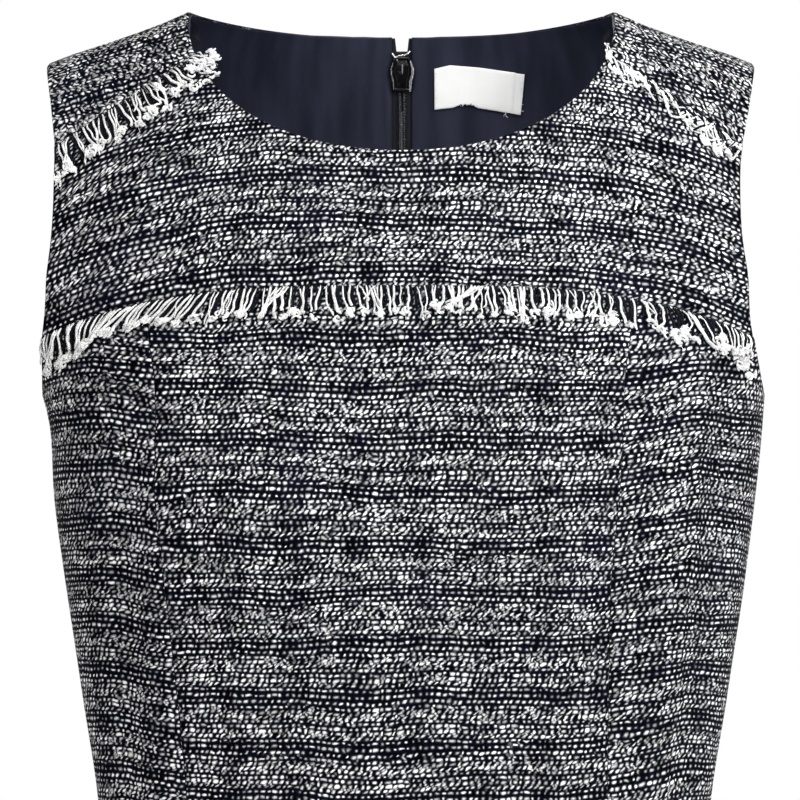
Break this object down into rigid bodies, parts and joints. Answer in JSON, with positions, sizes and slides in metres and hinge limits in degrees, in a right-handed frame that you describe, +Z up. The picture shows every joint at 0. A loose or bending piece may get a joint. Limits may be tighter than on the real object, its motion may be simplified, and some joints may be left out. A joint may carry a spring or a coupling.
{
  "type": "sleeveless tweed sheath dress",
  "caption": "Sleeveless knee-length sheath dress in boucle tweed, filled out and hollow, with frayed fringe in the bust and shoulder seams, a scooped neck and a back zip.",
  "frame": {"origin": "midway between the shoulders at the level of the high shoulder points, where the wearer carries the dress", "axes": "+Z up, the front faces -Y, the wearer's left is at +X"},
  "size_m": [0.371, 0.2584, 0.95],
  "materials": {
    "tweed": "navy-black and white boucle tweed, matt, knobbly plain weave with dark bands and white slubs",
    "fringe_yarn": "frayed white and navy-black yarn ends",
    "lining_satin": "dark navy lining with a soft sheen",
    "label_satin": "white woven satin, blank",
    "zip_tape": "black woven tape",
    "zip_coil": "black nylon coil",
    "zip_enamel": "glossy black enamel on metal"
  },
  "bodies": {
    "dress": {"front_yoke": "tweed", "centre_front": "tweed", "side_front_right": "tweed", "side_front_left": "tweed", "back_right": "tweed", "back_left": "tweed", "bust_fringe": "fringe_yarn", "shoulder_fringe_right": "fringe_yarn", "shoulder_fringe_left": "fringe_yarn", "lining_front": "lining_satin", "lining_back_right": "lining_satin", "lining_back_left": "lining_satin", "neck_label": "label_satin", "zip_tape_right": "zip_tape", "zip_tape_left": "zip_tape", "zip_coil": "zip_coil", "zip_slider": "zip_enamel"},
    "pull_tab": {"zip_pull_tab": "zip_enamel"}
  },
  "joints": [
    {"name": "tab_hinge", "type": "hinge", "parent": "dress", "child": "pull_tab", "pos_m": [0, 0.07217, -0.02188], "axis": [1, 0, 0], "range_deg": [0, 140]}
  ]
}
